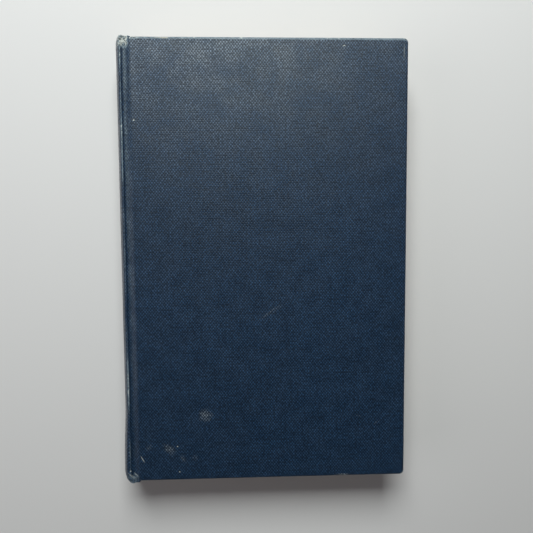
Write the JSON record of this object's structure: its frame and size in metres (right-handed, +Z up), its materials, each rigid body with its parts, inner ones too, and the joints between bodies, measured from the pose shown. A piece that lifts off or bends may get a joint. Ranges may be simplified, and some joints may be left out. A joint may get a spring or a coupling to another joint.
{
  "type": "hardback book",
  "caption": "Closed hardback book bound in plain dark blue cloth over boards, with a rounded spine, grooved joints and hinged covers.",
  "frame": {"origin": "middle of the book's outline, on the surface that the back cover lies on", "axes": "+Z up out of the front cover, +Y towards the head, +X from the spine to the fore-edge"},
  "size_m": [0.1456, 0.222, 0.0288],
  "materials": {
    "leaves": "matte",
    "endpaper": "matte",
    "headband_thread": "matte",
    "mull": "matte",
    "lining_paper": "matte",
    "greyboard": "matte",
    "cover_cloth": "matte"
  },
  "bodies": {
    "text_block": {"pages": "leaves", "front_flyleaf": "endpaper", "back_flyleaf": "endpaper", "headband": "headband_thread", "tailband": "headband_thread", "spine_mull": "mull", "spine_lining": "lining_paper", "spine_inlay": "greyboard", "spine_cloth": "cover_cloth"},
    "front_cover": {"front_board": "greyboard", "front_cloth": "cover_cloth", "front_mull": "mull", "front_pastedown": "endpaper"},
    "back_cover": {"back_board": "greyboard", "back_cloth": "cover_cloth", "back_mull": "mull", "back_pastedown": "endpaper"}
  },
  "joints": [
    {"name": "front_hinge", "type": "hinge", "parent": "text_block", "child": "front_cover", "pos_m": [-0.06877, 0, 0.0259], "axis": [0, -1, 0], "range_deg": [0, 179.5]},
    {"name": "back_hinge", "type": "hinge", "parent": "text_block", "child": "back_cover", "pos_m": [-0.06877, 0, 0.0029], "axis": [0, 1, 0], "range_deg": [0, 179.5]}
  ]
}
